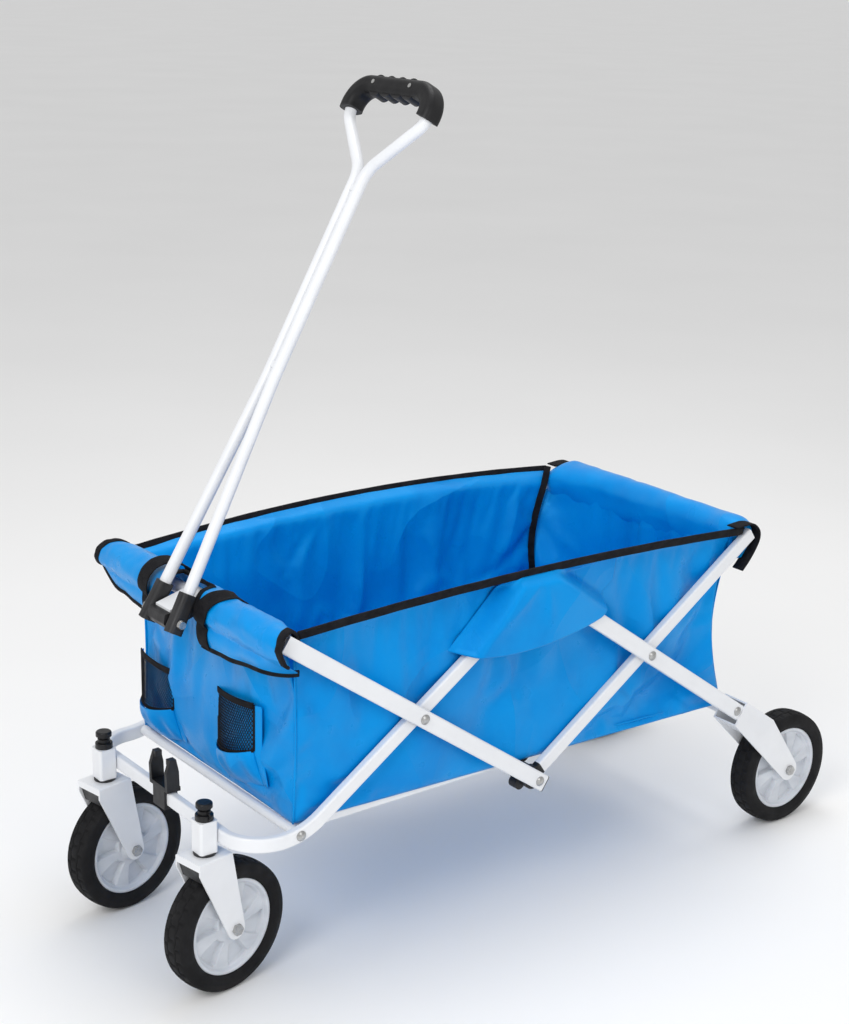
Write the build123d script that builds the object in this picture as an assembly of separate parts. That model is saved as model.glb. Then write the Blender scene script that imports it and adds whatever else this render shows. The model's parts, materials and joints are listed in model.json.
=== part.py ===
from build123d import *
import math
import os

# Folding beach cart: two crossed-bar scissors on each side, a U-shaped caster frame in
# front, two fixed wheels behind, a folding floor frame, a fabric tub and a tow handle.
# +X points to the handle end, +Y to the left side, +Z up; the wheels stand on z = 0.
# Everything is drawn with x = 0 at the fold's middle plane and moved by X_MID when saved.

# ------------------------------------------------------------------ driving dimensions
X_MID = 31.8            # the fold's middle plane, ahead of the middle of the length
FOLD_ANGLE = 34.8       # slope of every scissor bar when the cart is open, degrees
HALF_BAR = 248.5        # end pivot to crossing pivot on a scissor bar
LOW_Z = 207.0           # height of the low centre pivots
FRONT_REACH = 500.0     # low centre pivot to the front top tube
REAR_REACH = 490.0      # low centre pivot to the rear top tube

OUTER_Y = 222.0         # outer face of the outer bars
BAR_DEPTH = 12.0        # size of every bar across the cart
BAR_GAP = 1.5           # washer gap between the outer and the inner bars
OUTER_BAR = 24.0        # visible height of the outer bars
INNER_BAR = 20.0        # visible height of the inner bars
WALL = 1.2              # tube wall
CORNER = 3.0            # rounding of the bars' edges
TOP_TUBE_R = 9.5        # round cross tubes

FRAME_Z = 226.0         # centre height of the U-shaped caster frame
FRAME_X = 466.0         # centre line of its cross run
DIP_BEND = 100.0        # bend from the slope to the level
CORNER_BEND = 52.0      # bend from the side to the cross run

WHEEL_R = 90.0
TYRE_HALF = 20.0
RIM_R = 66.0
AXLE_R = 5.0
POST_X, POST_Y = 485.4, 133.8
POST_SIZE = 26.0
POST_BOTTOM, POST_TOP = 205.7, 249.7
TRAIL = 32.3            # hub behind the caster's post
CASTER_TURN = 10.0      # both casters stand turned by this much
FORK_HALF = 24.0        # caster fork, outside
FORK_SHEET = 2.5
CROWN_TOP = 202.0
REAR_HUB_X = -518.0
REAR_WHEEL_Y = 200.0

HANDLE_X, HANDLE_Z = 462.3, 477.8      # tow handle pivot
HANDLE_LEAN = 28.9      # from upright, back over the tub
HANDLE_R = 8.0
LEG_Y = 32.8            # handle legs at the pivot
LEG_PAIR_Y = 8.2        # the same legs where they run side by side
MERGE_S, SPLIT_S, BAR_S = 336.0, 632.0, 748.0
LOOP_R, LOOP_Y = 30.0, 54.0            # rounded upper corners of the grip loop

RIVET_R = 4.0
RUN_CLEAR = 0.08        # radial clearance of every turning pin
FIT = 0.03              # gap round plugs, tongues and fixed rivets
OPEN_PIVOT_CLEAR = 0.4  # at the high centre pivot, which the fold leaves free

FLOOR_Z = 240.0         # underside of the tub
RIM_Z = 502.0
TUB_Y = 188.0
TUB_WALL = 3.0

# ------------------------------------------------------------------ derived places
COS, SIN = math.cos(math.radians(FOLD_ANGLE)), math.sin(math.radians(FOLD_ANGLE))
HIGH_Z = LOW_Z + 2 * HALF_BAR * SIN
CROSS_X, CROSS_Z = HALF_BAR * COS, LOW_Z + HALF_BAR * SIN
FRONT_TOP = (FRONT_REACH * COS, LOW_Z + FRONT_REACH * SIN)
REAR_TOP = (-REAR_REACH * COS, LOW_Z + REAR_REACH * SIN)
OUTER_MID = OUTER_Y - BAR_DEPTH / 2
OUTER_IN = OUTER_Y - BAR_DEPTH
INNER_OUT = OUTER_IN - BAR_GAP
INNER_MID = INNER_OUT - BAR_DEPTH / 2
INNER_IN = INNER_OUT - BAR_DEPTH
FRONT_HINGE_X = 388.0                                  # floor frame pivot, front
REAR_HINGE_S = 477.0                                   # the same on the rear bars
BAR_OVERRUN = 12.0                                     # bar past its end pivot
FLOOR_HINGE_Z = 232.0

parts = {}


def save(name, shape):
    """Keep one node's solids, moved from the fold's plane to the cart's own origin."""
    parts[name] = Compound([Pos(X_MID, 0, 0) * solid for solid in shape.solids()])


def both(shape):
    """A left piece together with its mirrored right one, as separate solids."""
    return Compound(shape.solids() + right(shape).solids())


def right(shape):
    return mirror(shape, about=Plane.XZ)


def polygon(*points):
    return make_face(Polyline(*points, close=True))


def plate(outline, y_from, y_to):
    """Extrude an outline drawn in (x, z) along Y."""
    plane = Plane(origin=(0, y_to, 0), x_dir=(1, 0, 0), z_dir=(0, -1, 0))
    return extrude(plane * outline, amount=y_to - y_from)


def cross_rod(x, z, y_from, y_to, radius):
    return Pos(x, (y_from + y_to) / 2, z) * Rot(90, 0, 0) * Cylinder(radius, y_to - y_from)


def rivet(x, z, y_in, y_out, head=7.0, tail=6.0):
    """Domed rivet along Y: shank from y_in to y_out, dome outside, flat tail inside if any."""
    dome = 3.6
    ball = (head ** 2 + (dome - 0.8) ** 2) / (2 * (dome - 0.8))
    cap = cross_rod(0, 0, y_out, y_out + dome + 1, head) & Pos(0, y_out + dome - ball, 0) * Sphere(ball)
    body = cross_rod(0, 0, y_in, y_out, RIVET_R) + cap
    if tail:
        body += cross_rod(0, 0, y_in - 2.4, y_in, tail)
    return Pos(x, 0, z) * body


def pin_hole(x, z, y_from, y_to, clear=RUN_CLEAR):
    return cross_rod(x, z, y_from - 1, y_to + 1, RIVET_R + clear)


def bar_section(plane, height, depth=BAR_DEPTH):
    """Rounded rectangular tube section; its depth runs along the plane's x."""
    outer = RectangleRounded(depth, height, CORNER)
    inner = RectangleRounded(depth - 2 * WALL, height - 2 * WALL, CORNER - WALL)
    return plane * (outer - inner)


def bar(start, end, y_mid, height, depth=BAR_DEPTH):
    """Straight bar between two (x, z) points."""
    a = Vector(start[0], y_mid, start[1])
    run = Vector(end[0], y_mid, end[1]) - a
    plane = Plane(origin=a, x_dir=(0, 1, 0), z_dir=run)
    return extrude(bar_section(plane, height, depth), amount=run.length)


def up_bar(s, side=1):
    """Point (x, z) at s along a bar that rises from the low centre pivot."""
    return (side * s * COS, LOW_Z + s * SIN)


def down_bar(s, h=0.0):
    """Point at s along the rear bar that falls from the high centre pivot, h above it."""
    return (-s * COS - h * SIN, HIGH_Z - s * SIN + h * COS)


def round_tube(x, z, y_half, radius=TOP_TUBE_R, wall=WALL):
    return cross_rod(x, z, -y_half, y_half, radius) - cross_rod(x, z, -y_half, y_half, radius - wall)


# ------------------------------------------------------------------ centre cross member
def centre_tube():
    return round_tube(0, LOW_Z, 176.0, radius=10.0)


def centre_end_block():
    """Black end block: it carries the pivot bolt and a low front lobe."""
    hub = cross_rod(0, LOW_Z, 172, 195, 14)
    lobe = cross_rod(13, LOW_Z - 11, 180, 195, 8.5)
    web = plate(Pos(6.5, LOW_Z - 5.5) * Rot(0, 0, -40) * Rectangle(17, 16), 180, 195)
    socket = cross_rod(0, LOW_Z, 170, 176, 10 + FIT)
    return hub + lobe + web - socket - pin_hole(0, LOW_Z, 170, 196, clear=FIT)


def centre_pivot_bolt():
    return rivet(0, LOW_Z, 176, OUTER_Y)


# ------------------------------------------------------------------ front and rear scissor bars
def front_scissor_bar():
    body = bar(up_bar(-BAR_OVERRUN), up_bar(FRONT_REACH + 11), OUTER_MID, OUTER_BAR)
    body -= pin_hole(0, LOW_Z, OUTER_IN, OUTER_Y)
    return body - pin_hole(CROSS_X, CROSS_Z, OUTER_IN, OUTER_Y, clear=FIT)


def front_bar_cap():
    """Plastic plug that closes the low end of the outer front bar."""
    cap = bar_plug(up_bar(-BAR_OVERRUN - 1.5), up_bar(-BAR_OVERRUN), OUTER_MID, OUTER_BAR, CORNER, 0)
    plug = bar_plug(up_bar(-BAR_OVERRUN), up_bar(-BAR_OVERRUN + 6), OUTER_MID, OUTER_BAR, CORNER - WALL,
                    WALL + FIT)
    return cap + plug


def bar_plug(start, end, y_mid, height, corner, inset):
    a = Vector(start[0], y_mid, start[1])
    run = Vector(end[0], y_mid, end[1]) - a
    plane = Plane(origin=a, x_dir=(0, 1, 0), z_dir=run)
    section = RectangleRounded(BAR_DEPTH - 2 * inset, height - 2 * inset, corner)
    return extrude(plane * section, amount=run.length)


def rear_scissor_bar():
    body = bar(up_bar(19, -1), up_bar(REAR_REACH + 10, -1), INNER_MID, INNER_BAR)
    return body - pin_hole(-CROSS_X, CROSS_Z, INNER_IN, INNER_OUT, clear=FIT)


def rear_bar_knuckle():
    """Black end of the inner rear bar: an eye on the centre pivot and a tongue in the bar."""
    eye = cross_rod(0, LOW_Z, INNER_IN, INNER_OUT, 16.5)
    tongue = bar_plug(up_bar(10, -1), up_bar(46, -1), INNER_MID, INNER_BAR, CORNER - WALL, WALL + FIT)
    shoulder = bar_plug(up_bar(8, -1), up_bar(19 - FIT, -1), INNER_MID, INNER_BAR, CORNER, 0)
    return eye + shoulder + tongue - pin_hole(0, LOW_Z, INNER_IN, INNER_OUT)


def crossing_bolt(x_side):
    """Rivet with its washer through both bars at a crossing."""
    bolt = rivet(x_side * CROSS_X, CROSS_Z, INNER_IN - 0.2, OUTER_Y, tail=6.0)
    washer = cross_rod(x_side * CROSS_X, CROSS_Z, INNER_OUT + 0.2, OUTER_IN - 0.2, 9)
    return bolt + washer


# ------------------------------------------------------------------ caster frame
def dip_points():
    """Level end of the bend below the slope, and the sloping bar's end."""
    corner_s = (HIGH_Z - FRAME_Z) / SIN
    tangent = DIP_BEND * math.tan(math.radians(FOLD_ANGLE / 2))
    level = (corner_s * COS + tangent, FRAME_Z)
    slope = ((corner_s - tangent) * COS, HIGH_Z - (corner_s - tangent) * SIN)
    return level, slope


def front_frame_tube():
    """One bent tube: down-sloping side bar, dip, rounded corner and cross run."""
    level, slope = dip_points()
    top = (-BAR_OVERRUN * COS, HIGH_Z + BAR_OVERRUN * SIN)
    level_plane = Plane(origin=(level[0], INNER_MID, FRAME_Z), x_dir=(0, 1, 0), z_dir=(1, 0, 0))
    side = bar(top, slope, INNER_MID, INNER_BAR)
    dip_axis = Axis((level[0], 0, FRAME_Z + DIP_BEND), (0, 1, 0))
    side += revolve(bar_section(level_plane, INNER_BAR), dip_axis, revolution_arc=FOLD_ANGLE)
    bend_x = FRAME_X - CORNER_BEND
    side += extrude(bar_section(level_plane, INNER_BAR), amount=bend_x - level[0])
    bend_plane = Plane(origin=(bend_x, INNER_MID, FRAME_Z), x_dir=(0, 1, 0), z_dir=(1, 0, 0))
    bend_axis = Axis((bend_x, INNER_MID - CORNER_BEND, 0), (0, 0, -1))
    side += revolve(bar_section(bend_plane, INNER_BAR), bend_axis, revolution_arc=90)
    cross_half = INNER_MID - CORNER_BEND
    cross_plane = Plane(origin=(FRAME_X, -cross_half, FRAME_Z), x_dir=(1, 0, 0), z_dir=(0, 1, 0))
    body = side + extrude(bar_section(cross_plane, INNER_BAR), amount=2 * cross_half) + right(side)
    for y_side in (1, -1):
        inner, outer = sorted((y_side * INNER_IN, y_side * INNER_OUT))
        body -= pin_hole(0, HIGH_Z, inner, outer, clear=FIT)
        body -= pin_hole(CROSS_X, CROSS_Z, inner, outer)
        body -= pin_hole(FRONT_HINGE_X, front_hinge_z(), inner, outer, clear=FIT)
    return body


def front_hinge_z():
    """Height of the caster frame's centre line at the floor pivot, inside the dip bend."""
    level, _ = dip_points()
    return FRAME_Z + DIP_BEND - math.sqrt(DIP_BEND ** 2 - (level[0] - FRONT_HINGE_X) ** 2)


def caster_post():
    height = POST_TOP - POST_BOTTOM
    body = extrude(Pos(POST_X, POST_Y, POST_BOTTOM) * RectangleRounded(POST_SIZE, POST_SIZE, 4), amount=height)
    return body - Pos(POST_X, POST_Y, POST_BOTTOM + height / 2) * Cylinder(8, height)


def caster_bush():
    ring = Cylinder(15, 3) - Cylinder(8, 3)
    return Pos(POST_X, POST_Y, POST_BOTTOM - 1.5) * ring


def release_collar():
    """Cap on the post: base, neck and a small side loop, bored for stem and button."""
    base = Pos(0, 0, 4) * Cylinder(12, 8)
    neck = Pos(0, 0, 10.5) * Cylinder(8.5, 5)
    loop = Pos(0, 11.5, 7.6) * Rot(0, 90, 0) * Torus(3.6, 1.3)
    body = fillet(base.edges().group_by(Axis.Z)[-1], 1.5) + neck + loop
    body -= Pos(0, 0, 3.5) * Cylinder(8.2, 7)
    body -= Pos(0, 0, 10) * Cylinder(6.0, 8)
    return Pos(POST_X, POST_Y, POST_TOP) * body


def release_button():
    """Push button over the collar: a domed disc on a spigot, 4 mm of travel."""
    disc = Pos(0, 0, 20.5) * Cylinder(11, 7)
    disc = fillet(disc.edges().group_by(Axis.Z)[-1], 2.5)
    spigot = Pos(0, 0, 14) * Cylinder(5.9, 6)
    return Pos(POST_X, POST_Y, POST_TOP) * (disc + spigot)


def handle_clip():
    """Snap clip on the cross run: a clamp and two upright jaws for the stowed handle."""
    clamp = Pos(FRAME_X, 0, FRAME_Z) * Box(20, 30, 30)
    deck = Pos(FRAME_X, 0, FRAME_Z + 15) * Box(20, 47, 6)
    jaw = polygon((-9, 12), (10, 12), (11, 40), (5, 58), (-4, 58), (-8, 40))
    arms = plate(jaw, 17.5, 23.5) + plate(jaw, -23.5, -17.5)
    lips = plate(Pos(1, 54) * Rectangle(10, 8), 14, 18) + plate(Pos(1, 54) * Rectangle(10, 8), -18, -14)
    body = clamp + deck + Pos(FRAME_X, 0, FRAME_Z) * (arms + lips)
    tube = Pos(FRAME_X, 0, FRAME_Z) * Rot(90, 0, 0) * extrude(RectangleRounded(BAR_DEPTH, INNER_BAR, CORNER), 60,
                                                            both=True)
    return body - tube


# ------------------------------------------------------------------ rear bars and forks
def rear_frame_bar():
    body = bar(down_bar(-BAR_OVERRUN), down_bar(505), OUTER_MID, OUTER_BAR)
    body -= pin_hole(0, HIGH_Z, OUTER_IN, OUTER_Y, clear=OPEN_PIVOT_CLEAR)
    body -= pin_hole(-CROSS_X, CROSS_Z, OUTER_IN, OUTER_Y)
    return body - pin_hole(*down_bar(REAR_HINGE_S), OUTER_IN, OUTER_Y, clear=FIT)


def fork_outline(first):
    """Fork plate along the rear bar from s = first, tapering to a round end at the hub."""
    box = [down_bar(first, -21), down_bar(first, 19), down_bar(562, 19), down_bar(556, -21)]
    edges = [Line(box[i], box[(i + 1) % 4]) for i in range(4)]
    hub = Pos(REAR_HUB_X, WHEEL_R) * Edge.make_circle(17)
    return make_hull(edges + [hub])


def rear_fork():
    """Pressed bracket on the bar's end: two cheek plates joined by a top and a bottom flange."""
    body = plate(fork_outline(486), OUTER_Y, OUTER_Y + 2.5) + plate(fork_outline(490), 175.5, 178)
    for low, high in ((16.5, 19), (-21, -18.5)):
        flange = polygon(down_bar(490, low), down_bar(548, low), down_bar(548, high), down_bar(490, high))
        body += plate(flange, 175.5, OUTER_Y + 2.5)
    return body - cross_rod(REAR_HUB_X, WHEEL_R, 170, 230, AXLE_R + FIT)


def axle_bolt(y_half):
    """Wheel axle along Y with a hexagonal head and a nut just outside the fork plates."""
    shank = cross_rod(0, 0, -y_half - 8, y_half, AXLE_R)
    head = Pos(0, y_half, 0) * Rot(-90, 0, 0) * extrude(RegularPolygon(8, 6), 5)
    nut = Pos(0, -y_half, 0) * Rot(90, 0, 0) * extrude(RegularPolygon(8, 6), 6)
    return shank + head + nut


def rear_cross_tube():
    return round_tube(*down_bar(520), 175.5)


# ------------------------------------------------------------------ folding floor frame
def floor_half(x, z, cross_half, rail_y):
    """A cross tube on the floor pivots and two rails that run to the middle hinge."""
    body = cross_rod(x, z, -cross_half, cross_half, 7)
    for y in (rail_y, -rail_y):
        run = Vector(-x, 0, FLOOR_HINGE_Z - z)
        share = 1 - 8.5 / run.length
        body += bar((x, z), (x + share * run.X, z + share * run.Z), y, 12, depth=10)
    return body - cross_rod(x, z, -cross_half, cross_half, RIVET_R + RUN_CLEAR)


def floor_hinge_lug(x, z, rail_y):
    """Black hinge eye on a rail's inner end, with a tongue plugged into the rail."""
    eye = cross_rod(0, FLOOR_HINGE_Z, rail_y - 5, rail_y + 5, 8)
    start = Vector(0, rail_y, FLOOR_HINGE_Z)
    run = (Vector(x, rail_y, z) - start).normalized()
    plane = Plane(origin=start, x_dir=(0, 1, 0), z_dir=run)
    return eye + extrude(plane * RectangleRounded(7.5, 9.5, CORNER - WALL), amount=32)


# ------------------------------------------------------------------ tub
def basket():
    """Fabric tub as a closed solid: four walls and a floor round an open-topped cavity."""
    outer = polygon((-385, FLOOR_Z), (380, FLOOR_Z), (396, RIM_Z), (-388, RIM_Z))
    inner = polygon((-385 + TUB_WALL, FLOOR_Z + TUB_WALL), (380 - TUB_WALL, FLOOR_Z + TUB_WALL),
                    (396.5 - TUB_WALL, RIM_Z + 5), (-388 + TUB_WALL, RIM_Z + 5))
    inside_y = TUB_Y - TUB_WALL
    return plate(outer, -TUB_Y, TUB_Y) - plate(inner, -inside_y, inside_y)


# ------------------------------------------------------------------ tow handle
LEAN = math.radians(HANDLE_LEAN)
HANDLE_PLANE = Plane(origin=(HANDLE_X, 0, HANDLE_Z), x_dir=(0, 1, 0), z_dir=(math.cos(LEAN), 0, math.sin(LEAN)))


def in_handle(shape):
    """Place a piece drawn with x across the cart, y along the handle and z off its face."""
    return HANDLE_PLANE.location * shape


def loop_corner_y():
    """Where the loop's slanted side would meet the grip bar if the corner were sharp."""
    dy, ds = LOOP_Y - LEG_PAIR_Y, BAR_S - LOOP_R - SPLIT_S
    tilt = math.atan2(ds, dy) - math.asin(LOOP_R / math.hypot(dy, ds))
    return LEG_PAIR_Y + (BAR_S - SPLIT_S) / math.tan(tilt)


def handle_tube():
    half = [(LEG_Y, -8), (LEG_PAIR_Y, MERGE_S), (LEG_PAIR_Y, SPLIT_S), (loop_corner_y(), BAR_S)]
    route = half + [(-y, s) for y, s in reversed(half)]
    path = FilletPolyline(*route, radius=[300, 40, LOOP_R, LOOP_R, 40, 300])
    section = Plane(origin=path @ 0, z_dir=path % 0) * (Circle(HANDLE_R) - Circle(HANDLE_R - WALL))
    body = sweep(section, path=path)
    for s in (MERGE_S + 18, SPLIT_S - 26):
        body += Pos(0, s, 4.6) * Box(6, 9, 3) + Pos(0, s, -4.6) * Box(6, 9, 3)
    bolt = Rot(0, 90, 0) * Cylinder(RIVET_R + RUN_CLEAR, 90)
    return in_handle(body - bolt)


def handle_grip():
    """Moulded grip round the bar and both corners, with finger ridges below."""
    arc_from, arc_sweep = -12, 102
    path = Curve() + [
        CenterArc((LOOP_Y, BAR_S - LOOP_R), LOOP_R, arc_from, arc_sweep),
        Line((LOOP_Y, BAR_S), (-LOOP_Y, BAR_S)),
        CenterArc((-LOOP_Y, BAR_S - LOOP_R), LOOP_R, 90, arc_sweep),
    ]
    wire = Wire(path.edges())
    start = Plane(origin=wire @ 0, x_dir=(0, 0, 1), z_dir=wire % 0)
    shell = sweep(start * RectangleRounded(30, 25, 9), path=wire)
    ridge = Cylinder(15, 20)
    for y in (-36, -12, 12, 36):
        shell += Pos(y, BAR_S - 1.5, 0) * ridge
    core = sweep(start * Circle(HANDLE_R + FIT), path=wire)
    return in_handle(shell - core)


def grip_screws():
    """Two screws in the grip's upper face."""
    screw = Cylinder(3.0, 1.0)
    return in_handle(Compound([Pos(y, BAR_S + 1, 15.5) * screw for y in (-40, 40)]))


def handle_sleeve():
    """Black end sleeve on a handle leg, bored for the leg and for the pivot bolt."""
    leg = Vector(LEG_PAIR_Y - LEG_Y, MERGE_S + 8, 0)
    along = Plane(origin=(LEG_Y, -8, 0), x_dir=(1, 0, 0), z_dir=leg)
    body = extrude(along.offset(-7) * RectangleRounded(19, 23, 7), amount=54)
    body -= extrude(along * Circle(HANDLE_R + FIT), amount=60)
    bolt = Rot(0, 90, 0) * Cylinder(RIVET_R + RUN_CLEAR, 120)
    return in_handle(body - bolt)


def handle_bracket():
    """White saddle clamped round the front top tube, with a plate down to the block."""
    x, z = FRONT_TOP
    ring = cross_rod(x, z, -18, 18, TOP_TUBE_R + 3)
    tongue = plate(polygon((x - 2, z + TOP_TUBE_R + 3), (x + 3, z + TOP_TUBE_R + 3),
                           (HANDLE_X + 2, HANDLE_Z + 13), (HANDLE_X + 2, HANDLE_Z + 9.5),
                           (x + 9, z - 2), (x + 2, z)), -18, 18)
    return ring + tongue - cross_rod(x, z, -30, 30, TOP_TUBE_R + FIT)


def handle_block():
    """Black block between the handle's ends; the pivot bolt goes through it."""
    x, z = FRONT_TOP
    outline = polygon((x + 13.2, z - 13), (HANDLE_X - 2, HANDLE_Z - 13), (HANDLE_X + 8, HANDLE_Z - 11),
                      (HANDLE_X + 13, HANDLE_Z - 3), (HANDLE_X + 11, HANDLE_Z + 9.4), (x + 13.2, z - 2))
    outline = fillet(outline.vertices(), 2.5)
    body = plate(outline, -21, 21) - handle_bracket()
    return body - pin_hole(HANDLE_X, HANDLE_Z, -30, 30, clear=FIT)


def handle_pivot_bolt():
    end = 43.0
    shank = cross_rod(HANDLE_X, HANDLE_Z, -end - 6, end, RIVET_R)
    head = Pos(HANDLE_X, end, HANDLE_Z) * Rot(-90, 0, 0) * extrude(Circle(6.5), 4, taper=20)
    nut = Pos(HANDLE_X, -end, HANDLE_Z) * Rot(90, 0, 0) * extrude(RegularPolygon(7, 6), 4)
    return shank + head + nut


# ------------------------------------------------------------------ wheels and casters
def tyre():
    profile = polygon((RIM_R, -16.5), (72, -19.5), (83, -TYRE_HALF), (WHEEL_R, -13),
                      (WHEEL_R, 13), (83, TYRE_HALF), (72, 19.5), (RIM_R, 16.5))
    shoulders = [v for v in profile.vertices() if v.X > RIM_R + 1]
    return revolve(fillet(shoulders, 3), Axis.Y)


def rim():
    """Plastic rim: hub, dished disc with six skewed pockets on each face, outer ring."""
    half = [(AXLE_R + RUN_CLEAR, 20.5), (14, 20.5), (17, 14), (57, 10.5), (61, 15.5), (RIM_R, 15.5)]
    profile = polygon(*half, *[(r, -y) for r, y in reversed(half)])
    body = revolve(profile, Axis.Y)
    pocket = [polar(55.5, 17), polar(56, 42), polar(27, 43), polar(24, 23)]
    for i in range(6):
        turned = Rot(0, 0, 60 * i) * polygon(*pocket)
        for face in (1, -1):
            plane = Plane(origin=(0, face * 3, 0), x_dir=(1, 0, 0), z_dir=(0, face, 0))
            body -= extrude(plane * turned, amount=16)
    return body


def polar(radius, angle):
    return (radius * math.cos(math.radians(angle)), radius * math.sin(math.radians(angle)))


def caster_fork():
    """Bent-sheet fork, drawn about the post axis: crown, front lip and two cheeks."""
    top_edges = [(-26, 186), (28, 186), (28, CROWN_TOP), (-26, CROWN_TOP)]
    edges = [Line(top_edges[i], top_edges[(i + 1) % 4]) for i in range(4)]
    hub = Pos(-TRAIL, WHEEL_R) * Edge.make_circle(14)
    cheek = make_hull(edges + [hub])
    body = plate(cheek, FORK_HALF - FORK_SHEET, FORK_HALF) + plate(cheek, -FORK_HALF, -FORK_HALF + FORK_SHEET)
    body += Pos(1, 0, CROWN_TOP - 1.5) * Box(54, 2 * FORK_HALF, 3)
    body += Pos(26.75, 0, CROWN_TOP - 5) * Box(2.5, 2 * FORK_HALF, 10)
    body = fillet(body.edges().filter_by(Axis.X).group_by(Axis.Z)[-1], 2)
    body -= Pos(0, 0, CROWN_TOP) * Cylinder(8, 20)
    return body - cross_rod(-TRAIL, WHEEL_R, -40, 40, AXLE_R + FIT)


def caster_guard():
    """Black mudguard wedge under the crown's front edge, hollowed for the tyre."""
    wedge = polygon((12.5, CROWN_TOP - 3), (25.5, CROWN_TOP - 3), (25.5, CROWN_TOP - 10), (19, 171), (12.5, 171))
    body = plate(wedge, -21, 21)
    return body - cross_rod(-TRAIL, WHEEL_R, -30, 30, WHEEL_R + 4)


def caster_stem():
    """Steel stem from under the crown up through the post, with its head below."""
    stem = Pos(0, 0, (195 + 255.5) / 2) * Cylinder(8 - RUN_CLEAR, 60.5)
    return stem + Pos(0, 0, 197) * Cylinder(11, 4)


def place_caster(shape, side):
    return Pos(POST_X, side * POST_Y, 0) * Rot(0, 0, CASTER_TURN) * shape


# ------------------------------------------------------------------ assembly
save("centre_tube", centre_tube())
save("centre_end_blocks", both(centre_end_block()))
save("centre_pivot_bolts", both(centre_pivot_bolt()))

save("front_scissor_bar_left", front_scissor_bar())
save("front_scissor_bar_right", right(front_scissor_bar()))
save("front_bar_caps", both(front_bar_cap()))
save("front_top_tube", round_tube(*FRONT_TOP, OUTER_IN))
save("front_crossing_bolts", both(crossing_bolt(1)))
save("handle_bracket", handle_bracket())
save("handle_block", handle_block())
save("handle_pivot_bolt", handle_pivot_bolt())

save("rear_scissor_bar_left", rear_scissor_bar())
save("rear_scissor_bar_right", right(rear_scissor_bar()))
save("rear_bar_knuckles", both(rear_bar_knuckle()))
save("rear_top_tube", round_tube(*REAR_TOP, INNER_IN))
save("rear_crossing_bolts", both(crossing_bolt(-1)))

save("front_frame_tube", front_frame_tube())
save("caster_post_left", caster_post())
save("caster_post_right", right(caster_post()))
save("caster_bushes", both(caster_bush()))
save("release_collars", both(release_collar()))
save("handle_clip", handle_clip())
save("top_pivot_bolts", both(rivet(0, HIGH_Z, INNER_IN, OUTER_Y)))
save("floor_pivot_bolts_front", both(rivet(FRONT_HINGE_X, front_hinge_z(), 180, INNER_OUT, tail=0)))

save("rear_frame_bar_left", rear_frame_bar())
save("rear_frame_bar_right", right(rear_frame_bar()))
save("rear_fork_left", rear_fork())
save("rear_fork_right", right(rear_fork()))
save("rear_cross_tube", rear_cross_tube())
save("floor_pivot_bolts_rear", both(rivet(*down_bar(REAR_HINGE_S), 180, OUTER_Y, tail=0)))

save("floor_frame_front", floor_half(FRONT_HINGE_X, front_hinge_z(), INNER_IN - 0.5, 182))
save("floor_hinge_lugs_front", both(floor_hinge_lug(FRONT_HINGE_X, front_hinge_z(), 182)))
save("floor_frame_rear", floor_half(*down_bar(REAR_HINGE_S), OUTER_IN - 0.5, 170))
save("floor_hinge_lugs_rear", both(floor_hinge_lug(*down_bar(REAR_HINGE_S), 170)))

save("basket", basket())

save("handle_tube", handle_tube())
save("handle_grip", handle_grip())
save("grip_screws", grip_screws())
save("handle_sleeves", both(handle_sleeve()))

for name, side in (("left", 1), ("right", -1)):
    flip = right if side < 0 else (lambda shape: shape)
    save(f"release_button_{name}", flip(release_button()))
    save(f"caster_fork_{name}", place_caster(caster_fork(), side))
    save(f"caster_guard_{name}", place_caster(caster_guard(), side))
    save(f"caster_stem_{name}", place_caster(caster_stem(), side))
    front_hub = Pos(-TRAIL, 0, WHEEL_R)
    save(f"caster_axle_{name}", place_caster(front_hub * axle_bolt(FORK_HALF), side))
    save(f"tyre_front_{name}", place_caster(front_hub * tyre(), side))
    save(f"rim_front_{name}", place_caster(front_hub * rim(), side))
    rear_hub = Pos(REAR_HUB_X, side * REAR_WHEEL_Y, WHEEL_R)
    save(f"tyre_rear_{name}", rear_hub * tyre())
    save(f"rim_rear_{name}", rear_hub * rim())
    save(f"rear_axle_{name}", flip(Pos(REAR_HUB_X, REAR_WHEEL_Y, WHEEL_R) * axle_bolt(24.5)))

os.makedirs("parts", exist_ok=True)
for node, shape in parts.items():
    export_step(shape, f"parts/{node}.step")
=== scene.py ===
"""Looks of a folding beach cart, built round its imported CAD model. Lengths are in metres."""
import json
import math

import bmesh
import bpy
import numpy as np
from mathutils import Matrix, Vector, noise


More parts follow.
